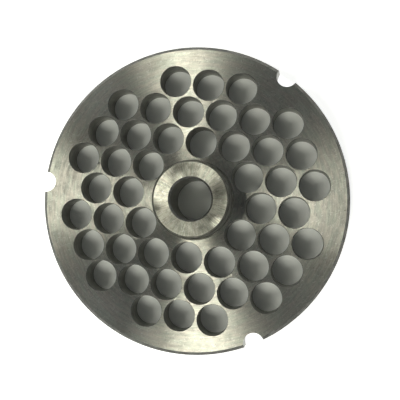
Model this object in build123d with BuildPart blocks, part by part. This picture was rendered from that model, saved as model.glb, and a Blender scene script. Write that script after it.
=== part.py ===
"""Perforated plate for a meat grinder, turned from one disc with a raised hub.

Frame: millimetres. The back face lies on Z = 0 and the hub stands up along +Z.
The axis of the bore is the Z axis. The rows of feed holes run along X, and one
of the three locating notches is centred on the -X side.
"""
from build123d import *
import math
import os

# Plate disc
plate_diameter = 99.5
plate_thickness = 10.0
rim_bevel = 1.0

# Hub with the bore for the spindle of the feed screw
spindle_diameter = 13.0
spindle_clearance = 0.2
hub_wall = 5.8
hub_rise = 8.5
hub_edge_radius = 1.0
hub_root_radius = 0.6
bore_bevel = 0.55

# Feed holes, set out on a triangular grid
feed_hole_diameter = 10.0
feed_hole_web = 0.8
hub_land = 0.6
rim_land = 4.6

# Locating notches in the rim
notch_count = 3
notch_radius = 3.3
notch_depth = 3.6
notch_start_angle = 60.0

plate_radius = plate_diameter / 2
bore_diameter = spindle_diameter + spindle_clearance
bore_radius = bore_diameter / 2
hub_radius = bore_radius + hub_wall
hub_top = plate_thickness + hub_rise
feed_hole_radius = feed_hole_diameter / 2
feed_hole_pitch = feed_hole_diameter + feed_hole_web
row_height = feed_hole_pitch * math.sin(math.radians(60))
notch_centre_radius = plate_radius + notch_radius - notch_depth


def feed_hole_sites() -> list[tuple[float, float]]:
    """Grid points whose hole clears both the hub and the solid rim."""
    nearest = hub_radius + hub_root_radius + hub_land + feed_hole_radius
    farthest = plate_radius - rim_land - feed_hole_radius
    reach = math.ceil(plate_radius / row_height)
    sites = []
    for row in range(-reach, reach + 1):
        for column in range(-2 * reach, 2 * reach + 1):
            x = (column + row / 2) * feed_hole_pitch
            y = row * row_height
            if nearest <= math.hypot(x, y) <= farthest:
                sites.append((x, y))
    return sites


feed_holes = feed_hole_sites()

with BuildPart() as grinder_plate:
    # The turned blank: half of the section, outside the bore, spun about Z
    with BuildSketch(Plane.XZ) as blank_section:
        with BuildLine() as blank_outline:
            Polyline(
                (bore_radius + bore_bevel, 0),
                (plate_radius - rim_bevel, 0),
                (plate_radius, rim_bevel),
                (plate_radius, plate_thickness - rim_bevel),
                (plate_radius - rim_bevel, plate_thickness),
                (hub_radius + hub_root_radius, plate_thickness),
            )
            RadiusArc(
                (hub_radius + hub_root_radius, plate_thickness),
                (hub_radius, plate_thickness + hub_root_radius),
                hub_root_radius,
            )
            Line(
                (hub_radius, plate_thickness + hub_root_radius),
                (hub_radius, hub_top - hub_edge_radius),
            )
            RadiusArc(
                (hub_radius, hub_top - hub_edge_radius),
                (hub_radius - hub_edge_radius, hub_top),
                -hub_edge_radius,
            )
            Polyline(
                (hub_radius - hub_edge_radius, hub_top),
                (bore_radius + bore_bevel, hub_top),
                (bore_radius, hub_top - bore_bevel),
                (bore_radius, bore_bevel),
                (bore_radius + bore_bevel, 0),
            )
        make_face()
    revolve(axis=Axis.Z)

    # Feed holes, straight through the disc
    with Locations(Plane.XY.offset(plate_thickness)):
        with Locations(*feed_holes):
            Hole(radius=feed_hole_radius, depth=plate_thickness)

    # Half-round notches through the rim
    with BuildSketch(Plane.XY) as notch_section:
        with PolarLocations(notch_centre_radius, notch_count, start_angle=notch_start_angle):
            Circle(notch_radius)
    extrude(amount=plate_thickness, mode=Mode.SUBTRACT)

grinder_plate.part.label = "grinder_plate"

os.makedirs("parts", exist_ok=True)
export_step(grinder_plate.part, "parts/grinder_plate.step")
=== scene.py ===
"""Perforated plate for a meat grinder, in turned and ground steel.

The plate is one piece of steel: a disc with a raised hub, a field of feed holes
and three notches in its rim. It is modelled here as a machinist makes it: a
blank is turned, the feed holes are drilled through it, and the notches are
milled into the rim. Sizes are in metres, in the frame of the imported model.
"""

import logging
import math
from dataclasses import dataclass, field
from enum import Enum

import bpy
from mathutils import Matrix, Vector


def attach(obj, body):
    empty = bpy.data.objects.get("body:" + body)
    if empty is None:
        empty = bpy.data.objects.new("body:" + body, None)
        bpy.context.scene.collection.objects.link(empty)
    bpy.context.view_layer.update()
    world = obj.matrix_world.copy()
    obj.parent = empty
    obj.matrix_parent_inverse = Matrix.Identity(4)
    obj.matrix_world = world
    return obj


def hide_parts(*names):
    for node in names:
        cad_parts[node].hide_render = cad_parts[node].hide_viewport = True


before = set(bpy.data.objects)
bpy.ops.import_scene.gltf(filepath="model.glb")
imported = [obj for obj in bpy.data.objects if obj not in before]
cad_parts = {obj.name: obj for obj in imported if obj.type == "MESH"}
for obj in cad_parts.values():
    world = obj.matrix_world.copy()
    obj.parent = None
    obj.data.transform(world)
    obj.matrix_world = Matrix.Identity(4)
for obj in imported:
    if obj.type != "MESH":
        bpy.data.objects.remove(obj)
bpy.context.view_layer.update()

LOG = logging.getLogger("grinder_plate")
MM = 0.001
NODE = "grinder_plate"

# Upright part of a face's normal, by which the faces of the plate are told apart
LEVEL = 0.98
NEARLY_LEVEL = 0.95
UPRIGHT = 0.2

# Room for rounding where a face's place is compared with a size
HEIGHT_SLACK = 0.01 * MM
RADIUS_SLACK = 0.1 * MM

Section = list[tuple[float, float]]
Colour = tuple[float, float, float, float]


class Grain(Enum):
    """The way in which the tool left its marks on a surface."""

    CIRCLES = "rings about the axis"
    SPOKES = "strokes from the axis outwards"
    LAYERS = "lines round a wall, one above the other"


class Region(Enum):
    """The surfaces of the plate that are finished apart."""

    FACES = "faces"
    HUB_TOP = "hub_top"
    HUB_EDGE = "hub_edge"
    HUB_WALL = "hub_wall"
    EDGES = "edges"
    SIDES = "sides"
    HOLES = "holes"


def deselect_all() -> None:
    """Leave object mode with nothing selected."""
    if bpy.context.object and bpy.context.object.mode != "OBJECT":
        bpy.ops.object.mode_set(mode="OBJECT")
    bpy.ops.object.select_all(action="DESELECT")


def make_active(piece: bpy.types.Object) -> None:
    """Select one object alone and make it the active one.

    Args:
        piece: The object.
    """
    deselect_all()
    piece.select_set(True)
    bpy.context.view_layer.objects.active = piece


def apply_place(piece: bpy.types.Object) -> None:
    """Move an object's place, turn and scale into its mesh."""
    make_active(piece)
    bpy.ops.object.transform_apply(location=True, rotation=True, scale=True)


def quarter_round(centre: tuple[float, float], radius: float, start: float, end: float,
                  steps: int) -> Section:
    """Points of an arc in a section.

    Args:
        centre: Radius and height of the arc's centre.
        radius: Radius of the arc itself.
        start: First angle in degrees, 0 pointing outwards and 90 up.
        end: Last angle in degrees.
        steps: Number of straight runs that stand for the arc.

    Returns:
        The arc's points, both ends included.
    """
    points = []
    for step in range(steps + 1):
        angle = math.radians(start + (end - start) * step / steps)
        points.append((centre[0] + radius * math.cos(angle), centre[1] + radius * math.sin(angle)))
    return points


@dataclass
class Turning:
    """A solid of revolution about Z, traced ring by ring as on a lathe."""

    name: str
    section: Section
    vertices: int
    hollow: bool = False

    def build(self) -> bpy.types.Object:
        """Trace the section with extruded rings.

        Returns:
            The closed solid, with its normals outwards.
        """
        deselect_all()
        first_radius, first_height = self.section[0]
        bpy.ops.mesh.primitive_circle_add(vertices=self.vertices, radius=first_radius,
                                          fill_type="NOTHING", location=(0, 0, first_height))
        solid = bpy.context.object
        solid.name = self.name
        apply_place(solid)
        bpy.ops.object.mode_set(mode="EDIT")
        bpy.ops.mesh.select_mode(type="VERT")
        bpy.ops.mesh.select_all(action="SELECT")
        stops = self.section[1:] + (self.section[:1] if self.hollow else [])
        radius, height = first_radius, first_height
        for next_radius, next_height in stops:
            widen = next_radius / radius
            bpy.ops.mesh.extrude_edges_move(
                TRANSFORM_OT_translate={"value": (0, 0, next_height - height)})
            bpy.ops.transform.resize(value=(widen, widen, 1), center_override=(0, 0, 0))
            radius, height = next_radius, next_height
        bpy.ops.mesh.select_all(action="SELECT")
        bpy.ops.mesh.remove_doubles(threshold=0.001 * MM)
        if not self.hollow:
            bpy.ops.mesh.select_all(action="SELECT")
            bpy.ops.mesh.fill_holes(sides=0)
        bpy.ops.mesh.select_all(action="SELECT")
        bpy.ops.mesh.normals_make_consistent(inside=False)
        bpy.ops.object.mode_set(mode="OBJECT")
        return solid


class Nodes:
    """A material's node tree, with short calls for what the finishes need."""

    def __init__(self, name: str, world: bool = False) -> None:
        """Start an empty tree with a shader and an output.

        Args:
            name: Name of the material or world.
            world: Whether the tree is a world's, with a background for its shader.
        """
        self.owner = bpy.data.worlds.new(name) if world else bpy.data.materials.new(name)
        self.owner.use_nodes = True
        self.tree = self.owner.node_tree
        self.tree.nodes.clear()
        output = self.tree.nodes.new("ShaderNodeOutputWorld" if world else "ShaderNodeOutputMaterial")
        self.shader = self.tree.nodes.new("ShaderNodeBackground" if world else "ShaderNodeBsdfPrincipled")
        self.link(self.shader.outputs[0], output.inputs["Surface"])

    def link(self, source: bpy.types.NodeSocket, target: bpy.types.NodeSocket) -> None:
        """Join two sockets."""
        self.tree.links.new(source, target)

    def feed(self, socket: bpy.types.NodeSocket, value: object) -> None:
        """Give a socket a link or a plain value.

        Args:
            socket: The socket that takes it.
            value: Another socket, or a number or vector.
        """
        if isinstance(value, bpy.types.NodeSocket):
            self.link(value, socket)
        else:
            socket.default_value = value

    def math(self, operation: str, first: object, second: object) -> bpy.types.NodeSocket:
        """One step of arithmetic.

        Args:
            operation: Blender's name of the operation.
            first: First number or link.
            second: Second number or link.

        Returns:
            The result's socket.
        """
        node = self.tree.nodes.new("ShaderNodeMath")
        node.operation = operation
        self.feed(node.inputs[0], first)
        self.feed(node.inputs[1], second)
        return node.outputs[0]

    def vector(self, operation: str, first: object, second: object = (0.0, 0.0, 0.0)
               ) -> bpy.types.NodeSocket:
        """One step of vector arithmetic.

        Args:
            operation: Blender's name of the operation.
            first: First vector or link.
            second: Second vector or link, where the operation has one.

        Returns:
            The result's socket.
        """
        node = self.tree.nodes.new("ShaderNodeVectorMath")
        node.operation = operation
        self.feed(node.inputs[0], first)
        self.feed(node.inputs[1], second)
        return node.outputs["Value" if operation == "LENGTH" else "Vector"]

    def combine(self, x: object, y: object, z: object) -> bpy.types.NodeSocket:
        """A vector from three numbers.

        Args:
            x: First part, a number or a link.
            y: Second part.
            z: Third part.

        Returns:
            The vector's socket.
        """
        node = self.tree.nodes.new("ShaderNodeCombineXYZ")
        for socket, value in zip(node.inputs, (x, y, z)):
            self.feed(socket, value)
        return node.outputs[0]

    def place(self) -> bpy.types.NodeSocket:
        """The point on the object, in metres."""
        return self.tree.nodes.new("ShaderNodeTexCoord").outputs["Object"]

    def seen(self) -> bpy.types.NodeSocket:
        """Tell what the camera sees, also in metal or through glass, from other light.

        Returns:
            A socket that is 1 for those rays and 0 for all others.
        """
        rays = self.tree.nodes.new("ShaderNodeLightPath").outputs
        mirrored = self.math("MAXIMUM", rays["Is Glossy Ray"], rays["Is Transmission Ray"])
        return self.math("MAXIMUM", rays["Is Camera Ray"], mirrored)

    def split(self, vector: bpy.types.NodeSocket) -> tuple[bpy.types.NodeSocket, ...]:
        """The three parts of a vector.

        Args:
            vector: The vector's socket.

        Returns:
            The sockets of its x, y and z.
        """
        node = self.tree.nodes.new("ShaderNodeSeparateXYZ")
        self.link(vector, node.inputs[0])
        return tuple(node.outputs)

    def noise(self, vector: bpy.types.NodeSocket, scale: float, detail: float = 3.0,
              roughness: float = 0.55) -> bpy.types.NodeSocket:
        """A soft random pattern from 0 to 1.

        Args:
            vector: Where the pattern is read.
            scale: Features per unit of the vector.
            detail: Number of finer layers.
            roughness: Strength of the finer layers.

        Returns:
            The pattern's socket.
        """
        node = self.tree.nodes.new("ShaderNodeTexNoise")
        self.link(vector, node.inputs["Vector"])
        node.inputs["Scale"].default_value = scale
        node.inputs["Detail"].default_value = detail
        node.inputs["Roughness"].default_value = roughness
        return node.outputs["Fac"]

    def spots(self, vector: bpy.types.NodeSocket, scale: float) -> tuple[bpy.types.NodeSocket, ...]:
        """Scattered points.

        Args:
            vector: Where the pattern is read.
            scale: Points per unit of the vector.

        Returns:
            The distance from the nearest point, and that point's random colour.
        """
        node = self.tree.nodes.new("ShaderNodeTexVoronoi")
        self.link(vector, node.inputs["Vector"])
        node.inputs["Scale"].default_value = scale
        return node.outputs["Distance"], node.outputs["Color"]

    def span(self, value: bpy.types.NodeSocket, low: float, high: float, to_low: float = 0.0,
             to_high: float = 1.0) -> bpy.types.NodeSocket:
        """Carry a number smoothly from one range to another, held at the ends.

        Args:
            value: The number's socket.
            low: Where the change starts.
            high: Where it ends.
            to_low: The result at low and below.
            to_high: The result at high and above.

        Returns:
            The result's socket.
        """
        node = self.tree.nodes.new("ShaderNodeMapRange")
        node.interpolation_type = "SMOOTHSTEP"
        for socket, number in zip(node.inputs[1:5], (low, high, to_low, to_high)):
            socket.default_value = number
        self.link(value, node.inputs[0])
        return node.outputs[0]

    def blend(self, share: bpy.types.NodeSocket, first: object, second: object
              ) -> bpy.types.NodeSocket:
        """Mix two colours.

        Args:
            share: How much of the second shows, from 0 to 1.
            first: First colour or link.
            second: Second colour or link.

        Returns:
            The mixed colour's socket.
        """
        node = self.tree.nodes.new("ShaderNodeMix")
        node.data_type = "RGBA"
        self.link(share, node.inputs["Factor"])
        self.feed(node.inputs[6], first)
        self.feed(node.inputs[7], second)
        return node.outputs[2]

    def bump(self, height: bpy.types.NodeSocket, depth: float) -> bpy.types.NodeSocket:
        """A normal that follows a height.

        Args:
            height: The height, from 0 to 1.
            depth: What a height of 1 measures, in metres.

        Returns:
            The normal's socket.
        """
        node = self.tree.nodes.new("ShaderNodeBump")
        node.inputs["Strength"].default_value = 1.0
        node.inputs["Distance"].default_value = depth
        self.link(height, node.inputs["Height"])
        return node.outputs["Normal"]


@dataclass(frozen=True)
class PaintedLightPatch:
    """A soft round patch of painted light on the steel: painted highlight where its gain is positive,
    painted shade where it is negative.
    """

    heading: float
    out: float
    size: float
    gain: float

    def share(self, nodes: Nodes, place: bpy.types.NodeSocket) -> bpy.types.NodeSocket:
        """How much the patch changes the tone at each point.

        Args:
            nodes: The tree that is being built.
            place: The point on the object.

        Returns:
            The gain in tone, fading to nothing at the patch's edge.
        """
        heading = math.radians(self.heading)
        centre = (self.out * math.cos(heading), self.out * math.sin(heading), 0.0)
        flat = nodes.vector("MULTIPLY", place, (1.0, 1.0, 0.0))
        away = nodes.vector("LENGTH", nodes.vector("SUBTRACT", flat, centre))
        return nodes.span(away, 0.2 * self.size, self.size, self.gain, 0.0)


@dataclass(frozen=True)
class Scratches:
    """Short scratches that all lie one way, where a stretched pattern passes from faint to full."""

    heading: float
    tone: float
    length: float = 1.6 * MM
    width: float = 0.22 * MM
    faint: float = 0.63
    full: float = 0.72

    def score(self, nodes: Nodes, place: bpy.types.NodeSocket, share: float, steel: bpy.types.NodeSocket
              ) -> bpy.types.NodeSocket:
        """Score the steel along the heading.

        Args:
            nodes: The tree that is being built.
            place: The point on the object.
            share: How far a scratch covers the steel's own colour.
            steel: The steel's colour before these scratches.

        Returns:
            The steel's colour with the scratches on it.
        """
        turn = math.radians(self.heading)
        x, y, _ = nodes.split(place)
        along = nodes.math("ADD", nodes.math("MULTIPLY", x, math.cos(turn) / self.length),
                           nodes.math("MULTIPLY", y, math.sin(turn) / self.length))
        across = nodes.math("SUBTRACT", nodes.math("MULTIPLY", y, math.cos(turn) / self.width),
                            nodes.math("MULTIPLY", x, math.sin(turn) / self.width))
        lines = nodes.noise(nodes.combine(along, across, self.heading), 1.0, detail=1.0)
        cover = nodes.span(lines, self.faint, self.full, 0.0, share)
        return nodes.blend(cover, steel, (self.tone, self.tone, 0.93 * self.tone, 1.0))


PIT_COLOUR: Colour = (0.12, 0.11, 0.09, 1.0)
PINK_FILM: Colour = (1.025, 0.985, 0.965, 1.0)
GREEN_FILM: Colour = (0.98, 1.015, 0.975, 1.0)
SCRATCHES = (Scratches(28.0, 0.85), Scratches(118.0, 0.75), Scratches(77.0, 0.2))


@dataclass(frozen=True)
class SteelFinish:
    """Bare steel as a tool left it.

    The grain runs in circles, in spokes or in layers. Fine lines follow it in
    the colour, the roughness and the relief. Blotches, stains, a few pits and
    any scratches lie across it, and any patches of painted highlight and
    painted shade lie over all of it.
    """

    name: str
    grain: Grain
    dark: Colour
    light: Colour
    stain: Colour
    roughness: float
    anisotropy: float
    line_width: float
    line_length: float
    line_depth: float
    uneven: float = 0.05
    blotch_size: float = 1.6 * MM
    blotch_share: float = 0.3
    stain_share: float = 0.25
    stain_dulling: float = 0.08
    stains_per_metre: float = 95.0
    pit_share: float = 0.05
    pits_per_metre: float = 520.0
    pit_cover: float = 0.7
    scratch_share: float = 0.0
    # Patches of painted highlight and painted shade, laid over the steel's own colour.
    painted_light_patches: tuple[PaintedLightPatch, ...] = ()

    def grain_vector(self, nodes: Nodes) -> bpy.types.NodeSocket:
        """A vector in which one unit is one line across the grain.

        Args:
            nodes: The tree that is being built.

        Returns:
            The vector's socket.
        """
        place = nodes.place()
        x, y, z = nodes.split(place)
        flat = nodes.combine(x, y, 0.0)
        heading = nodes.vector("NORMALIZE", flat)
        radius = nodes.vector("LENGTH", flat)
        if self.grain is Grain.CIRCLES:
            along = nodes.vector("MULTIPLY", heading, (1 / self.line_length,) * 3)
            across = nodes.math("DIVIDE", radius, self.line_width)
        elif self.grain is Grain.SPOKES:
            along = nodes.vector("MULTIPLY", heading, (1 / self.line_width,) * 3)
            across = nodes.math("DIVIDE", radius, self.line_length)
        else:
            along = nodes.vector("MULTIPLY", flat, (1 / self.line_length,) * 3)
            across = nodes.math("DIVIDE", z, self.line_width)
        return nodes.vector("ADD", along, nodes.combine(0.0, 0.0, across))

    def build(self) -> bpy.types.Material:
        """Make the material.

        Returns:
            The finished material.
        """
        nodes = Nodes(self.name)
        place = nodes.place()
        grain = self.grain_vector(nodes)
        lines = nodes.noise(grain, 1.0, detail=3.0, roughness=0.6)
        blotches = nodes.noise(place, 1 / self.blotch_size, detail=3.0)
        streaks = nodes.math("ADD", nodes.math("MULTIPLY", lines, 1 - self.blotch_share),
                             nodes.math("MULTIPLY", blotches, self.blotch_share))
        clouds = nodes.noise(place, self.stains_per_metre, detail=4.0)
        stains = nodes.span(clouds, 0.5, 0.72, 0.0, self.stain_share)
        near, tint = nodes.spots(place, self.pits_per_metre)
        chance = nodes.math("LESS_THAN", nodes.split(tint)[0], self.pit_share)
        pits = nodes.math("MULTIPLY", nodes.span(near, 0.06, 0.2, 1.0, 0.0), chance)

        steel = nodes.blend(nodes.span(streaks, 0.34, 0.66), self.dark, self.light)
        tinted = nodes.vector("MULTIPLY", steel, self.tint(nodes, grain))
        scored = self.scratched(nodes, place, tinted)
        stained = nodes.blend(stains, scored, self.stain)
        pitted = nodes.blend(nodes.math("MULTIPLY", pits, self.pit_cover), stained, PIT_COLOUR)
        nodes.link(self.paint_light(nodes, place, pitted), nodes.shader.inputs["Base Color"])

        gloss = nodes.span(streaks, 0.35, 0.65, self.roughness + self.uneven, self.roughness - self.uneven)
        rough = nodes.math("ADD", gloss, nodes.math("MULTIPLY", stains, self.stain_dulling))
        nodes.link(rough, nodes.shader.inputs["Roughness"])
        relief = nodes.math("SUBTRACT", streaks, pits)
        nodes.link(nodes.bump(relief, self.line_depth), nodes.shader.inputs["Normal"])

        nodes.shader.inputs["Metallic"].default_value = 1.0
        nodes.shader.inputs["Anisotropic"].default_value = self.anisotropy
        if self.anisotropy > 0:
            nodes.link(self.spread(nodes), nodes.shader.inputs["Tangent"])
        return nodes.owner

    def tint(self, nodes: Nodes, grain: bpy.types.NodeSocket) -> bpy.types.NodeSocket:
        """The faint pink and green tints that a film of grease leaves along the grain.

        Args:
            nodes: The tree that is being built.
            grain: The point in units of the grain.

        Returns:
            A colour near white, to multiply the steel by.
        """
        apart = nodes.vector("ADD", nodes.vector("MULTIPLY", grain, (0.8, 0.8, 0.35)), (7.0, 3.0, 5.0))
        film = nodes.span(nodes.noise(apart, 1.0, detail=2.0), 0.36, 0.64)
        return nodes.blend(film, PINK_FILM, GREEN_FILM)

    def scratched(self, nodes: Nodes, place: bpy.types.NodeSocket, steel: bpy.types.NodeSocket
                  ) -> bpy.types.NodeSocket:
        """Score the steel with every set of scratches.

        Args:
            nodes: The tree that is being built.
            place: The point on the object.
            steel: The steel's colour before the scratches.

        Returns:
            The steel's colour with the scratches on it.
        """
        if self.scratch_share == 0:
            return steel
        for scratches in SCRATCHES:
            steel = scratches.score(nodes, place, self.scratch_share, steel)
        return steel

    def paint_light(self, nodes: Nodes, place: bpy.types.NodeSocket, steel: bpy.types.NodeSocket
             ) -> bpy.types.NodeSocket:
        """Paint highlights and shade onto the steel inside the patches of painted light.

        Args:
            nodes: The tree that is being built.
            place: The point on the object.
            steel: The steel's colour before the painted light.

        Returns:
            The steel's colour with the painted highlights and painted shade.
        """
        if not self.painted_light_patches:
            return steel
        tone = nodes.math("ADD", 1.0, self.painted_light_patches[0].share(nodes, place))
        for patch in self.painted_light_patches[1:]:
            tone = nodes.math("ADD", tone, patch.share(nodes, place))
        return nodes.vector("MULTIPLY", steel, nodes.combine(tone, tone, tone))

    def spread(self, nodes: Nodes) -> bpy.types.NodeSocket:
        """The way across the grain, in which the gloss spreads.

        Args:
            nodes: The tree that is being built.

        Returns:
            A vector in the plane of the face.
        """
        x, y, _ = nodes.split(nodes.place())
        if self.grain is Grain.SPOKES:
            return nodes.combine(nodes.math("MULTIPLY", y, -1.0), x, 0.0)
        return nodes.combine(x, y, 0.0)


GROUND_FACE = SteelFinish(
    name="ground_face", grain=Grain.CIRCLES,
    dark=(0.40, 0.405, 0.355, 1.0), light=(0.55, 0.545, 0.465, 1.0), stain=(0.38, 0.35, 0.29, 1.0),
    roughness=0.42, anisotropy=1.0, line_width=0.44 * MM, line_length=0.105, line_depth=0.014 * MM,
    uneven=0.06, blotch_size=1.5 * MM, blotch_share=0.3, scratch_share=0.6,
    # Painted highlights and painted shade that brighten and darken parts of the bands of light; the patches
    # at headings 5 and 346 paint the hub's shadow on its right deeper.
    painted_light_patches=(PaintedLightPatch(140, 50 * MM, 13 * MM, 0.5), PaintedLightPatch(233, 50 * MM, 16 * MM, 0.5),
             PaintedLightPatch(2, 32 * MM, 13 * MM, 0.45), PaintedLightPatch(117, 32 * MM, 9 * MM, -0.3),
             PaintedLightPatch(346, 27 * MM, 12 * MM, -0.45), PaintedLightPatch(165, 18 * MM, 6 * MM, -0.35),
             PaintedLightPatch(341, 46 * MM, 9 * MM, -0.25), PaintedLightPatch(268, 15 * MM, 4 * MM, 0.8),
             PaintedLightPatch(112, 45 * MM, 7 * MM, -0.22), PaintedLightPatch(161, 40 * MM, 10 * MM, -0.35),
             PaintedLightPatch(256, 46.5 * MM, 8 * MM, 0.5), PaintedLightPatch(270, 28 * MM, 5 * MM, -0.35),
             PaintedLightPatch(308, 24 * MM, 8 * MM, 0.4), PaintedLightPatch(206, 43 * MM, 9 * MM, -0.2),
             PaintedLightPatch(5, 17.5 * MM, 7 * MM, -0.35)))
HUB_FACE = SteelFinish(
    name="hub_face", grain=Grain.SPOKES,
    dark=(0.29, 0.29, 0.24, 1.0), light=(0.58, 0.575, 0.485, 1.0), stain=(0.20, 0.18, 0.14, 1.0),
    roughness=0.55, anisotropy=0.35, line_width=0.035, line_length=3.0 * MM, line_depth=0.012 * MM,
    blotch_size=2.4 * MM, blotch_share=0.5, stain_share=0.5, scratch_share=0.6,
    # Painted highlights and painted shade on the hub's top, such as its brighter left side and a bright line
    # near its edge at heading 326.
    painted_light_patches=(PaintedLightPatch(178, 8.3 * MM, 5.5 * MM, 1.3), PaintedLightPatch(152, 11.0 * MM, 4.0 * MM, 0.75),
             PaintedLightPatch(65, 10.5 * MM, 6.0 * MM, 0.5), PaintedLightPatch(125, 7.3 * MM, 2.8 * MM, 0.8),
             PaintedLightPatch(326, 11.3 * MM, 2.8 * MM, 1.3), PaintedLightPatch(118, 10.4 * MM, 4.0 * MM, -0.45),
             PaintedLightPatch(22, 9.4 * MM, 5.0 * MM, -0.7), PaintedLightPatch(340, 8.5 * MM, 5.5 * MM, -0.45),
             PaintedLightPatch(308, 8.8 * MM, 5.5 * MM, -0.35), PaintedLightPatch(198, 11.0 * MM, 3.0 * MM, -0.75),
             PaintedLightPatch(242, 8.5 * MM, 4.0 * MM, -0.3)))
# Nearly black steel for the hub's rounded top edge, which shows as a dark line round the hub, and for the
# fillet at its root, where it is painted shade.
HUB_ROUNDING_AND_PAINTED_ROOT_SHADE = SteelFinish(
    name="hub_rounding_and_painted_root_shade", grain=Grain.CIRCLES,
    dark=(0.07, 0.07, 0.06, 1.0), light=(0.15, 0.15, 0.13, 1.0), stain=(0.06, 0.055, 0.05, 1.0),
    roughness=0.5, anisotropy=0.0, line_width=0.3 * MM, line_length=0.2, line_depth=0.006 * MM)
# Painted shade: a darker copy of the turned steel of the rim's side, so that the hub's wall lies as dark as
# the shaded face beside it.
HUB_SIDE_PAINTED_SHADE = SteelFinish(
    name="hub_side_painted_shade", grain=Grain.LAYERS,
    dark=(0.14, 0.14, 0.13, 1.0), light=(0.25, 0.25, 0.23, 1.0), stain=(0.12, 0.11, 0.10, 1.0),
    roughness=0.62, anisotropy=0.0, line_width=0.3 * MM, line_length=8 * MM, line_depth=0.008 * MM)
# Nearly black steel on the broken edges of the rim, the holes and the bore, which shows them as dark lines.
EDGE = SteelFinish(
    name="dark_edge", grain=Grain.CIRCLES,
    dark=(0.07, 0.07, 0.065, 1.0), light=(0.15, 0.15, 0.14, 1.0), stain=(0.06, 0.055, 0.05, 1.0),
    roughness=0.36, anisotropy=0.0, line_width=0.4 * MM, line_length=0.05, line_depth=0.006 * MM)
TURNED_SIDE = SteelFinish(
    name="turned_side", grain=Grain.LAYERS,
    dark=(0.24, 0.24, 0.22, 1.0), light=(0.40, 0.40, 0.36, 1.0), stain=(0.22, 0.20, 0.18, 1.0),
    roughness=0.38, anisotropy=0.0, line_width=0.3 * MM, line_length=12 * MM, line_depth=0.010 * MM)
DRILLED_WALL = SteelFinish(
    name="drilled_wall", grain=Grain.LAYERS,
    dark=(0.27, 0.27, 0.26, 1.0), light=(0.41, 0.41, 0.38, 1.0), stain=(0.24, 0.22, 0.19, 1.0),
    roughness=0.45, anisotropy=0.0, line_width=0.35 * MM, line_length=4 * MM, line_depth=0.020 * MM)


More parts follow.
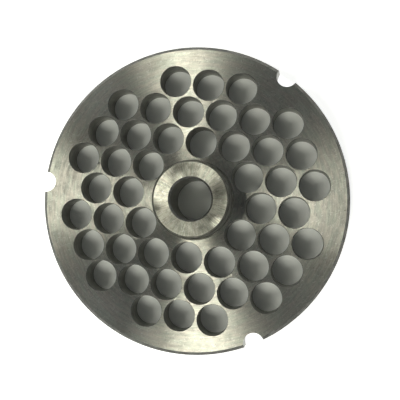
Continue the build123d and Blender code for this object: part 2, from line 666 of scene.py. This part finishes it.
@dataclass
class GrinderPlate:
    """The plate: a turned disc with a hub, drilled and notched."""

    plate_radius: float = 49.75 * MM
    thickness: float = 10.0 * MM
    rim_bevel: float = 1.0 * MM
    hub_radius: float = 12.4 * MM
    hub_top: float = 18.5 * MM
    hub_edge: float = 1.0 * MM
    hub_root: float = 0.6 * MM
    bore_radius: float = 6.6 * MM
    bore_bevel: float = 0.55 * MM
    hole_radius: float = 5.0 * MM
    hole_web: float = 0.8 * MM
    hole_edge: float = 0.12 * MM
    hub_land: float = 0.6 * MM
    rim_land: float = 4.6 * MM
    notch_radius: float = 3.3 * MM
    notch_depth: float = 3.6 * MM
    notch_headings: tuple[float, ...] = (60.0, 180.0, 300.0)
    cutter_overrun: float = 1.0 * MM
    smooth_angle: float = 35.0
    turned_vertices: int = 240
    hole_vertices: int = 56
    body: bpy.types.Object | None = field(default=None, init=False)

    def blank_section(self) -> Section:
        """Half of the section through the turned blank, outside the bore.

        Returns:
            The section's corners.
        """
        root = (self.hub_radius + self.hub_root, self.thickness + self.hub_root)
        edge = (self.hub_radius - self.hub_edge, self.hub_top - self.hub_edge)
        return [
            (self.bore_radius + self.bore_bevel, 0.0),
            (self.plate_radius - self.rim_bevel, 0.0),
            (self.plate_radius, self.rim_bevel),
            (self.plate_radius, self.thickness - self.rim_bevel),
            (self.plate_radius - self.rim_bevel, self.thickness),
            *quarter_round(root, self.hub_root, 270, 180, steps=6),
            *quarter_round(edge, self.hub_edge, 0, 90, steps=6),
            (self.bore_radius + self.bore_bevel, self.hub_top),
            (self.bore_radius, self.hub_top - self.bore_bevel),
            (self.bore_radius, self.bore_bevel),
        ]

    def drill_section(self) -> Section:
        """Section of the drill that leaves a hole with its edges broken at both faces.

        Returns:
            The section's corners.
        """
        wide = self.hole_radius + self.hole_edge
        low = (wide, self.hole_edge)
        high = (wide, self.thickness - self.hole_edge)
        return [
            (wide, -self.cutter_overrun),
            *quarter_round(low, self.hole_edge, 270, 180, steps=3),
            *quarter_round(high, self.hole_edge, 180, 90, steps=3),
            (wide, self.thickness + self.cutter_overrun),
        ]

    def hole_sites(self) -> list[tuple[float, float]]:
        """Grid points whose hole clears both the hub and the solid rim.

        Returns:
            The centre of each feed hole.
        """
        pitch = 2 * self.hole_radius + self.hole_web
        row_height = pitch * math.sin(math.radians(60))
        nearest = self.hub_radius + self.hub_root + self.hub_land + self.hole_radius
        farthest = self.plate_radius - self.rim_land - self.hole_radius
        reach = math.ceil(self.plate_radius / row_height)
        sites = []
        for row in range(-reach, reach + 1):
            for column in range(-2 * reach, 2 * reach + 1):
                x = (column + row / 2) * pitch
                y = row * row_height
                if nearest <= math.hypot(x, y) <= farthest:
                    sites.append((x, y))
        return sites

    def copies(self, pattern: bpy.types.Object, sites: list[tuple[float, float]]
               ) -> bpy.types.Object:
        """Set a copy of one cutter at each site and join them.

        Args:
            pattern: The cutter, on the Z axis.
            sites: Where each copy stands.

        Returns:
            One object that holds all the copies.
        """
        made = []
        for x, y in sites:
            copy = pattern.copy()
            copy.data = pattern.data.copy()
            bpy.context.collection.objects.link(copy)
            copy.location = (x, y, 0)
            made.append(copy)
        bpy.data.objects.remove(pattern)
        deselect_all()
        for copy in made:
            copy.select_set(True)
        bpy.context.view_layer.objects.active = made[0]
        bpy.ops.object.join()
        joined = bpy.context.object
        apply_place(joined)
        return joined

    def cut(self, cutters: bpy.types.Object) -> None:
        """Take the cutters' space out of the body and delete them.

        Args:
            cutters: One object that holds all the cutters.
        """
        make_active(self.body)
        bpy.ops.object.modifier_add(type="BOOLEAN")
        cutting = self.body.modifiers[-1]
        cutting.operation = "DIFFERENCE"
        cutting.solver = "EXACT"
        cutting.object = cutters
        bpy.ops.object.modifier_apply(modifier=cutting.name)
        bpy.data.objects.remove(cutters)

    def turn_blank(self) -> None:
        """Turn the disc with its hub and bore."""
        self.body = Turning("plate_body", self.blank_section(), self.turned_vertices, hollow=True).build()
        LOG.info("blank: %d faces", len(self.body.data.polygons))

    def drill_feed_holes(self) -> None:
        """Drill the whole field of feed holes."""
        sites = self.hole_sites()
        drill = Turning("feed_hole_drill", self.drill_section(), self.hole_vertices).build()
        self.cut(self.copies(drill, sites))
        LOG.info("feed holes: %d", len(sites))

    def mill_notches(self) -> None:
        """Mill the half-round notches into the rim."""
        section = [(self.notch_radius, -self.cutter_overrun),
                   (self.notch_radius, self.thickness + self.cutter_overrun)]
        cutter = Turning("notch_cutter", section, self.hole_vertices).build()
        out = self.plate_radius + self.notch_radius - self.notch_depth
        sites = [(out * math.cos(math.radians(heading)), out * math.sin(math.radians(heading)))
                 for heading in self.notch_headings]
        self.cut(self.copies(cutter, sites))
        LOG.info("notches: %d", len(sites))

    def smooth(self) -> None:
        """Shade the round walls smooth and keep the flat faces flat."""
        make_active(self.body)
        bpy.ops.object.shade_smooth_by_angle(angle=math.radians(self.smooth_angle))
        bpy.ops.object.modifier_add(type="WEIGHTED_NORMAL")
        weighting = self.body.modifiers[-1]
        weighting.mode = "FACE_AREA"
        weighting.weight = 100
        weighting.keep_sharp = True
        bpy.ops.object.modifier_apply(modifier=weighting.name)

    def region_of(self, centre: Vector, normal: Vector) -> Region:
        """Say which region a face belongs to.

        Args:
            centre: The middle of the face.
            normal: The face's normal.

        Returns:
            The region.
        """
        out = math.hypot(centre.x, centre.y)
        slant = abs(normal.z)
        if centre.z > self.thickness + HEIGHT_SLACK and out > self.bore_radius + self.bore_bevel:
            if centre.z < self.thickness + self.hub_root:
                return Region.HUB_EDGE
            if centre.z < self.hub_top - self.hub_edge:
                return Region.HUB_WALL
            return Region.HUB_TOP if slant > NEARLY_LEVEL else Region.HUB_EDGE
        if slant > LEVEL:
            return Region.FACES
        if slant > UPRIGHT:
            return Region.EDGES
        if out > self.plate_radius - RADIUS_SLACK:
            return Region.SIDES
        return Region.HOLES

    def dress(self) -> None:
        """Give each region its finish."""
        finishes = {
            Region.FACES: GROUND_FACE,
            Region.HUB_TOP: HUB_FACE,
            Region.HUB_EDGE: HUB_ROUNDING_AND_PAINTED_ROOT_SHADE,
            Region.HUB_WALL: HUB_SIDE_PAINTED_SHADE,
            Region.EDGES: EDGE,
            Region.SIDES: TURNED_SIDE,
            Region.HOLES: DRILLED_WALL,
        }
        places = {}
        for region, finish in finishes.items():
            self.body.data.materials.append(finish.build())
            places[region] = len(self.body.data.materials) - 1
        for face in self.body.data.polygons:
            face.material_index = places[self.region_of(face.center, face.normal)]

    def build(self) -> bpy.types.Object:
        """Make the whole plate.

        Returns:
            The plate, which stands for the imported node.
        """
        self.turn_blank()
        self.drill_feed_holes()
        self.mill_notches()
        self.smooth()
        self.dress()
        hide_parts(NODE)
        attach(self.body, "root")
        return self.body


@dataclass(frozen=True)
class Softbox:
    """A square lamp that faces the plate."""

    name: str
    heading: float
    elevation: float
    distance: float
    size: float
    power: float

    def build(self, colour: tuple[float, float, float]) -> bpy.types.Object:
        """Set up the lamp.

        Args:
            colour: The lamp's colour.

        Returns:
            The lamp's object.
        """
        heading = math.radians(self.heading)
        elevation = math.radians(self.elevation)
        way = Vector((math.cos(heading) * math.cos(elevation), math.sin(heading) * math.cos(elevation),
                      math.sin(elevation)))
        lamp = bpy.data.lights.new(self.name, "AREA")
        lamp.shape = "SQUARE"
        lamp.size = self.size
        lamp.energy = self.power
        lamp.color = colour
        box = bpy.data.objects.new(self.name, lamp)
        bpy.context.collection.objects.link(box)
        box.location = way * self.distance
        box.rotation_euler = way.to_track_quat("Z", "Y").to_euler()
        return box


@dataclass
class Studio:
    """The floor, the lamps and the camera.

    The floor glows only for rays that the camera sees. The glow starts outside
    the feed holes, so they show the floor as the lamps light it, and the notches
    show it white. From the plate's rim outwards it is less by shadow_room, which
    leaves the plate's shadow on the floor, and far away it is full again. The
    sky is white at the horizon for the same rays.
    """

    floor_size: float = 3.0
    floor_colour: Colour = (0.91, 0.935, 0.90, 1.0)
    sky_colour: Colour = (0.83, 0.88, 1.0, 1.0)
    sky_strength: float = 0.11
    lamp_colour: tuple[float, float, float] = (1.0, 0.99, 0.91)
    shadow_room: float = 0.3
    white_from: float = 44.4 * MM
    white_to: float = 46.0 * MM
    shadow_from: float = 49.5 * MM
    shadow_to: float = 50.3 * MM
    far_from: float = 100.0 * MM
    far_to: float = 400.0 * MM
    horizon_from: float = 0.26
    horizon_to: float = 0.5
    camera_place: tuple[float, float, float] = (37.75 * MM, -6.07 * MM, 291.5 * MM)
    camera_aim: tuple[float, float, float] = (1.98 * MM, 0.25 * MM, 10.0 * MM)
    camera_up_heading: float = 97.3
    lens: float = 79.4
    lamps: tuple[Softbox, ...] = (
        Softbox("left_softbox", heading=181.5, elevation=55, distance=0.8, size=0.24, power=1.77),
        Softbox("lower_softbox", heading=270, elevation=53, distance=0.8, size=0.24, power=2.62),
        Softbox("upper_softbox", heading=113, elevation=45.5, distance=0.8, size=0.20, power=1.46),
    )

    def lay_floor(self) -> None:
        """Lay a plain pale floor under the plate."""
        deselect_all()
        bpy.ops.mesh.primitive_plane_add(size=self.floor_size)
        floor = bpy.context.object
        floor.name = "floor"
        nodes = Nodes("pale_floor")
        nodes.shader.inputs["Base Color"].default_value = self.floor_colour
        nodes.shader.inputs["Roughness"].default_value = 0.9
        nodes.shader.inputs["Specular IOR Level"].default_value = 0.0
        away = nodes.vector("LENGTH", nodes.place())
        rise = nodes.span(away, self.white_from, self.white_to)
        shadow = nodes.math("SUBTRACT", nodes.span(away, self.shadow_from, self.shadow_to),
                            nodes.span(away, self.far_from, self.far_to))
        lift = nodes.math("SUBTRACT", rise, nodes.math("MULTIPLY", shadow, self.shadow_room))
        nodes.shader.inputs["Emission Color"].default_value = (1.0, 1.0, 1.0, 1.0)
        nodes.link(nodes.math("MULTIPLY", nodes.seen(), lift), nodes.shader.inputs["Emission Strength"])
        floor.data.materials.append(nodes.owner)

    def light(self) -> None:
        """Set up the lamps and a plain dim sky that ends in a white horizon."""
        for lamp in self.lamps:
            lamp.build(self.lamp_colour)
        nodes = Nodes("studio", world=True)
        height = nodes.split(nodes.tree.nodes.new("ShaderNodeTexCoord").outputs["Generated"])[2]
        horizon = nodes.span(height, self.horizon_from, self.horizon_to, 1.0, 0.0)
        white = nodes.math("MULTIPLY", nodes.seen(), horizon)
        nodes.link(nodes.blend(white, self.sky_colour, (1.0, 1.0, 1.0, 1.0)), nodes.shader.inputs["Color"])
        strength = nodes.math("ADD", self.sky_strength, nodes.math("MULTIPLY", white, 1 - self.sky_strength))
        nodes.link(strength, nodes.shader.inputs["Strength"])
        bpy.context.scene.world = nodes.owner

    def set_camera(self) -> None:
        """Put the camera where the photograph was taken from."""
        place = Vector(self.camera_place)
        look = (Vector(self.camera_aim) - place).normalized()
        heading = math.radians(self.camera_up_heading)
        up = Vector((math.cos(heading), math.sin(heading), 0.0))
        up = (up - look * up.dot(look)).normalized()
        right = look.cross(up)
        turn = Matrix((right, up, -look)).transposed().to_4x4()
        camera = bpy.data.cameras.new("camera")
        camera.lens = self.lens
        camera.clip_start = 0.01
        view = bpy.data.objects.new("camera", camera)
        bpy.context.collection.objects.link(view)
        view.matrix_world = Matrix.Translation(place) @ turn
        bpy.context.scene.camera = view

    def build(self) -> None:
        """Make the whole studio."""
        self.lay_floor()
        self.light()
        self.set_camera()
        bpy.context.scene.view_settings.view_transform = "Standard"


def main() -> None:
    """Build the plate and the studio, and report each piece."""
    logging.basicConfig(level=logging.INFO, format="%(name)s: %(message)s")
    plate = GrinderPlate().build()
    LOG.info("%s: %d faces", plate.name, len(plate.data.polygons))
    Studio().build()
    LOG.info("studio is set")


if __name__ == "__main__":
    main()
